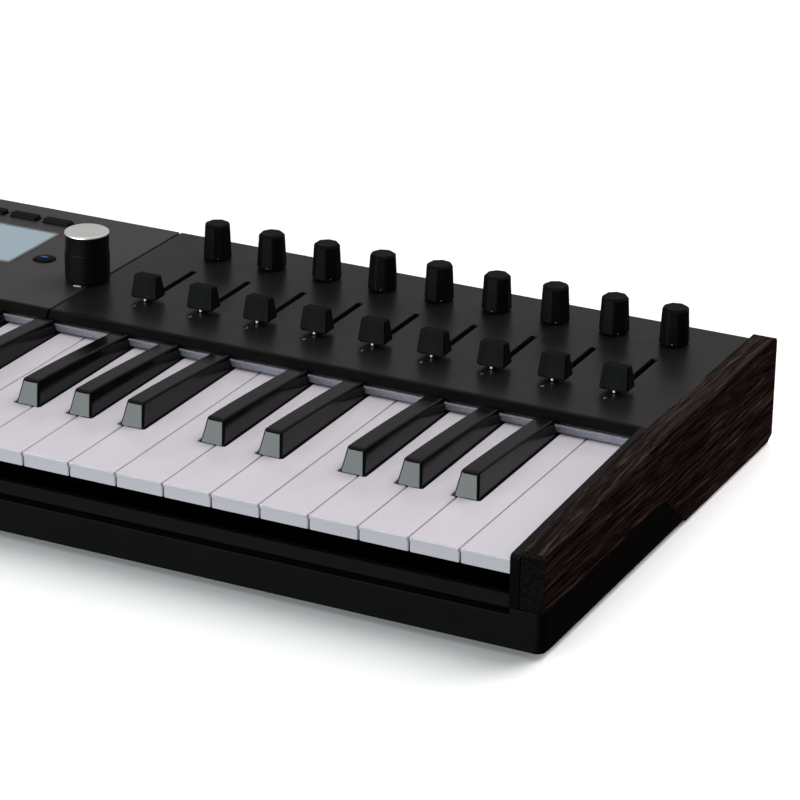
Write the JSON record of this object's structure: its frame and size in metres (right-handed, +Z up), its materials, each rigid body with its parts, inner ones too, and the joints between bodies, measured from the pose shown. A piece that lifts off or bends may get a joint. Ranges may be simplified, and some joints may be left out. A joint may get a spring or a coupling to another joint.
{
  "type": "keyboard synthesizer",
  "caption": "Keyboard synthesizer: hinged piano keys in a black case with wood end cheeks, a grey control panel, knobs, faders, an encoder, a screen, pads and wheels.",
  "frame": {"origin": "on the table, under the middle of the body", "axes": "+X along the keys from bass to treble, +Y from the player to the rear, +Z up"},
  "size_m": [0.795, 0.2644, 0.0767],
  "materials": {
    "case_plastic": "fine matt texture",
    "panel_grey": "satin",
    "panel_light_grey": "satin",
    "dark_wood": "open grain, satin oil",
    "white_key": "semi-gloss",
    "black_key": "gloss",
    "control_black": "soft-touch",
    "button_rubber": "matt silicone",
    "pad_rubber": "matt silicone",
    "foot_rubber": "matt",
    "felt": "wool felt",
    "screen_glass": "polished",
    "display_metal": "stamped",
    "circuit_board": "solder mask",
    "frame_plastic": "moulded"
  },
  "bodies": {
    "body": {"lower_case": "case_plastic", "rear_plate": "case_plastic", "cheek_right": "dark_wood", "cheek_left": "dark_wood", "panel_right": "panel_grey", "panel_centre": "panel_light_grey", "panel_left": "panel_grey", "key_frame": "frame_plastic", "key_contact_board": "circuit_board", "control_board": "circuit_board", "key_felt": "felt", "screen_lens": "screen_glass", "display_module": "display_metal", "foot_front": "foot_rubber", "foot_rear": "foot_rubber", "wheel_housing": "frame_plastic"},
    "knob_1": {"knob_1": "control_black"},
    "knob_2": {"knob_2": "control_black"},
    "knob_3": {"knob_3": "control_black"},
    "knob_4": {"knob_4": "control_black"},
    "knob_5": {"knob_5": "control_black"},
    "knob_6": {"knob_6": "control_black"},
    "knob_7": {"knob_7": "control_black"},
    "knob_8": {"knob_8": "control_black"},
    "knob_9": {"knob_9": "control_black"},
    "fader_1": {"fader_cap_1": "control_black"},
    "fader_2": {"fader_cap_2": "control_black"},
    "fader_3": {"fader_cap_3": "control_black"},
    "fader_4": {"fader_cap_4": "control_black"},
    "fader_5": {"fader_cap_5": "control_black"},
    "fader_6": {"fader_cap_6": "control_black"},
    "fader_7": {"fader_cap_7": "control_black"},
    "fader_8": {"fader_cap_8": "control_black"},
    "fader_9": {"fader_cap_9": "control_black"},
    "main_encoder": {"main_encoder": "control_black"},
    "pitch_wheel": {"pitch_wheel": "control_black"},
    "mod_wheel": {"mod_wheel": "control_black"},
    "round_button": {"round_button": "control_black"},
    "screen_buttons": {"screen_buttons": "button_rubber"},
    "transport_buttons": {"transport_buttons": "button_rubber"},
    "pad_sheet": {"pad_sheet": "pad_rubber"},
    "white_keys_octave_2": {"white_keys_octave_2": "white_key"},
    "black_keys_octave_2": {"black_keys_octave_2": "black_key"},
    "white_keys_octave_3": {"white_keys_octave_3": "white_key"},
    "black_keys_octave_3": {"black_keys_octave_3": "black_key"},
    "white_keys_octave_4": {"white_keys_octave_4": "white_key"},
    "black_keys_octave_4": {"black_keys_octave_4": "black_key"},
    "key_C5": {"key_C5": "white_key"},
    "key_C_sharp_5": {"key_C_sharp_5": "black_key"},
    "key_D5": {"key_D5": "white_key"},
    "key_D_sharp_5": {"key_D_sharp_5": "black_key"},
    "key_E5": {"key_E5": "white_key"},
    "key_F5": {"key_F5": "white_key"},
    "key_F_sharp_5": {"key_F_sharp_5": "black_key"},
    "key_G5": {"key_G5": "white_key"},
    "key_G_sharp_5": {"key_G_sharp_5": "black_key"},
    "key_A5": {"key_A5": "white_key"},
    "key_A_sharp_5": {"key_A_sharp_5": "black_key"},
    "key_B5": {"key_B5": "white_key"},
    "key_C6": {"key_C6": "white_key"}
  },
  "joints": [
    {"name": "knob_1_turn", "type": "hinge", "parent": "body", "child": "knob_1", "pos_m": [0.1121, 0.106, 0.052], "axis": [0, 0, 1], "continuous": true},
    {"name": "knob_2_turn", "type": "hinge", "parent": "body", "child": "knob_2", "pos_m": [0.1426, 0.106, 0.052], "axis": [0, 0, 1], "continuous": true},
    {"name": "knob_3_turn", "type": "hinge", "parent": "body", "child": "knob_3", "pos_m": [0.1731, 0.106, 0.052], "axis": [0, 0, 1], "continuous": true},
    {"name": "knob_4_turn", "type": "hinge", "parent": "body", "child": "knob_4", "pos_m": [0.2036, 0.106, 0.052], "axis": [0, 0, 1], "continuous": true},
    {"name": "knob_5_turn", "type": "hinge", "parent": "body", "child": "knob_5", "pos_m": [0.2341, 0.106, 0.052], "axis": [0, 0, 1], "continuous": true},
    {"name": "knob_6_turn", "type": "hinge", "parent": "body", "child": "knob_6", "pos_m": [0.2646, 0.106, 0.052], "axis": [0, 0, 1], "continuous": true},
    {"name": "knob_7_turn", "type": "hinge", "parent": "body", "child": "knob_7", "pos_m": [0.2951, 0.106, 0.052], "axis": [0, 0, 1], "continuous": true},
    {"name": "knob_8_turn", "type": "hinge", "parent": "body", "child": "knob_8", "pos_m": [0.3256, 0.106, 0.052], "axis": [0, 0, 1], "continuous": true},
    {"name": "knob_9_turn", "type": "hinge", "parent": "body", "child": "knob_9", "pos_m": [0.3561, 0.106, 0.052], "axis": [0, 0, 1], "continuous": true},
    {"name": "fader_1_slide", "type": "slide", "parent": "body", "child": "fader_1", "axis": [0, 1, 0], "range_m": [0, 0.042]},
    {"name": "fader_2_slide", "type": "slide", "parent": "body", "child": "fader_2", "axis": [0, 1, 0], "range_m": [0, 0.042]},
    {"name": "fader_3_slide", "type": "slide", "parent": "body", "child": "fader_3", "axis": [0, 1, 0], "range_m": [0, 0.042]},
    {"name": "fader_4_slide", "type": "slide", "parent": "body", "child": "fader_4", "axis": [0, 1, 0], "range_m": [0, 0.042]},
    {"name": "fader_5_slide", "type": "slide", "parent": "body", "child": "fader_5", "axis": [0, 1, 0], "range_m": [0, 0.042]},
    {"name": "fader_6_slide", "type": "slide", "parent": "body", "child": "fader_6", "axis": [0, 1, 0], "range_m": [0, 0.042]},
    {"name": "fader_7_slide", "type": "slide", "parent": "body", "child": "fader_7", "axis": [0, 1, 0], "range_m": [0, 0.042]},
    {"name": "fader_8_slide", "type": "slide", "parent": "body", "child": "fader_8", "axis": [0, 1, 0], "range_m": [0, 0.042]},
    {"name": "fader_9_slide", "type": "slide", "parent": "body", "child": "fader_9", "axis": [0, 1, 0], "range_m": [0, 0.042]},
    {"name": "main_encoder_turn", "type": "hinge", "parent": "body", "child": "main_encoder", "pos_m": [0.072, 0.0482, 0.052], "axis": [0, 0, 1], "continuous": true},
    {"name": "pitch_wheel_turn", "type": "hinge", "parent": "body", "child": "pitch_wheel", "pos_m": [-0.362, -0.066, 0.0325], "axis": [-1, 0, 0], "range_deg": [-35, 35], "stiffness_Nm_per_rad": 0.05},
    {"name": "mod_wheel_turn", "type": "hinge", "parent": "body", "child": "mod_wheel", "pos_m": [-0.325, -0.066, 0.0325], "axis": [-1, 0, 0], "range_deg": [0, 60]},
    {"name": "round_button_press", "type": "slide", "parent": "body", "child": "round_button", "axis": [0, 0, -1], "range_m": [0, 0.0008], "stiffness_N_per_m": 400, "springref_m": -0.0008},
    {"name": "screen_buttons_press", "type": "slide", "parent": "body", "child": "screen_buttons", "axis": [0, 0, -1], "range_m": [0, 0.0008], "stiffness_N_per_m": 1500, "springref_m": -0.0008},
    {"name": "transport_buttons_press", "type": "slide", "parent": "body", "child": "transport_buttons", "axis": [0, 0, -1], "range_m": [0, 0.0008], "stiffness_N_per_m": 1500, "springref_m": -0.0008},
    {"name": "pad_sheet_press", "type": "slide", "parent": "body", "child": "pad_sheet", "axis": [0, 0, -1], "range_m": [0, 0.001], "stiffness_N_per_m": 4000, "springref_m": -0.0008},
    {"name": "white_keys_octave_2_press", "type": "hinge", "parent": "body", "child": "white_keys_octave_2", "pos_m": [-0.21775, 0.0195, 0.0387], "axis": [1, 0, 0], "range_deg": [0, 3.6], "stiffness_Nm_per_rad": 2.45, "springref_deg": -14.32},
    {"name": "black_keys_octave_2_press", "type": "hinge", "parent": "body", "child": "black_keys_octave_2", "pos_m": [-0.21775, 0.0195, 0.0387], "axis": [1, 0, 0], "range_deg": [0, 3.6], "stiffness_Nm_per_rad": 1.75, "springref_deg": -14.32},
    {"name": "white_keys_octave_3_press", "type": "hinge", "parent": "body", "child": "white_keys_octave_3", "pos_m": [-0.05325, 0.0195, 0.0387], "axis": [1, 0, 0], "range_deg": [0, 3.6], "stiffness_Nm_per_rad": 2.45, "springref_deg": -14.32},
    {"name": "black_keys_octave_3_press", "type": "hinge", "parent": "body", "child": "black_keys_octave_3", "pos_m": [-0.05325, 0.0195, 0.0387], "axis": [1, 0, 0], "range_deg": [0, 3.6], "stiffness_Nm_per_rad": 1.75, "springref_deg": -14.32},
    {"name": "white_keys_octave_4_press", "type": "hinge", "parent": "body", "child": "white_keys_octave_4", "pos_m": [0.11125, 0.0195, 0.0387], "axis": [1, 0, 0], "range_deg": [0, 3.6], "stiffness_Nm_per_rad": 2.45, "springref_deg": -14.32},
    {"name": "black_keys_octave_4_press", "type": "hinge", "parent": "body", "child": "black_keys_octave_4", "pos_m": [0.11125, 0.0195, 0.0387], "axis": [1, 0, 0], "range_deg": [0, 3.6], "stiffness_Nm_per_rad": 1.75, "springref_deg": -14.32},
    {"name": "key_C5_press", "type": "hinge", "parent": "body", "child": "key_C5", "pos_m": [0.20525, 0.0195, 0.0387], "axis": [1, 0, 0], "range_deg": [0, 3.6], "stiffness_Nm_per_rad": 0.35, "springref_deg": -14.32},
    {"name": "key_C_sharp_5_press", "type": "hinge", "parent": "body", "child": "key_C_sharp_5", "pos_m": [0.2146, 0.0195, 0.0387], "axis": [1, 0, 0], "range_deg": [0, 3.6], "stiffness_Nm_per_rad": 0.35, "springref_deg": -14.32},
    {"name": "key_D5_press", "type": "hinge", "parent": "body", "child": "key_D5", "pos_m": [0.22875, 0.0195, 0.0387], "axis": [1, 0, 0], "range_deg": [0, 3.6], "stiffness_Nm_per_rad": 0.35, "springref_deg": -14.32},
    {"name": "key_D_sharp_5_press", "type": "hinge", "parent": "body", "child": "key_D_sharp_5", "pos_m": [0.2433, 0.0195, 0.0387], "axis": [1, 0, 0], "range_deg": [0, 3.6], "stiffness_Nm_per_rad": 0.35, "springref_deg": -14.32},
    {"name": "key_E5_press", "type": "hinge", "parent": "body", "child": "key_E5", "pos_m": [0.25225, 0.0195, 0.0387], "axis": [1, 0, 0], "range_deg": [0, 3.6], "stiffness_Nm_per_rad": 0.35, "springref_deg": -14.32},
    {"name": "key_F5_press", "type": "hinge", "parent": "body", "child": "key_F5", "pos_m": [0.27575, 0.0195, 0.0387], "axis": [1, 0, 0], "range_deg": [0, 3.6], "stiffness_Nm_per_rad": 0.35, "springref_deg": -14.32},
    {"name": "key_F_sharp_5_press", "type": "hinge", "parent": "body", "child": "key_F_sharp_5", "pos_m": [0.2839, 0.0195, 0.0387], "axis": [1, 0, 0], "range_deg": [0, 3.6], "stiffness_Nm_per_rad": 0.35, "springref_deg": -14.32},
    {"name": "key_G5_press", "type": "hinge", "parent": "body", "child": "key_G5", "pos_m": [0.29925, 0.0195, 0.0387], "axis": [1, 0, 0], "range_deg": [0, 3.6], "stiffness_Nm_per_rad": 0.35, "springref_deg": -14.32},
    {"name": "key_G_sharp_5_press", "type": "hinge", "parent": "body", "child": "key_G_sharp_5", "pos_m": [0.3112, 0.0195, 0.0387], "axis": [1, 0, 0], "range_deg": [0, 3.6], "stiffness_Nm_per_rad": 0.35, "springref_deg": -14.32},
    {"name": "key_A5_press", "type": "hinge", "parent": "body", "child": "key_A5", "pos_m": [0.32275, 0.0195, 0.0387], "axis": [1, 0, 0], "range_deg": [0, 3.6], "stiffness_Nm_per_rad": 0.35, "springref_deg": -14.32},
    {"name": "key_A_sharp_5_press", "type": "hinge", "parent": "body", "child": "key_A_sharp_5", "pos_m": [0.3383, 0.0195, 0.0387], "axis": [1, 0, 0], "range_deg": [0, 3.6], "stiffness_Nm_per_rad": 0.35, "springref_deg": -14.32},
    {"name": "key_B5_press", "type": "hinge", "parent": "body", "child": "key_B5", "pos_m": [0.34625, 0.0195, 0.0387], "axis": [1, 0, 0], "range_deg": [0, 3.6], "stiffness_Nm_per_rad": 0.35, "springref_deg": -14.32},
    {"name": "key_C6_press", "type": "hinge", "parent": "body", "child": "key_C6", "pos_m": [0.36975, 0.0195, 0.0387], "axis": [1, 0, 0], "range_deg": [0, 3.6], "stiffness_Nm_per_rad": 0.35, "springref_deg": -14.32}
  ]
}
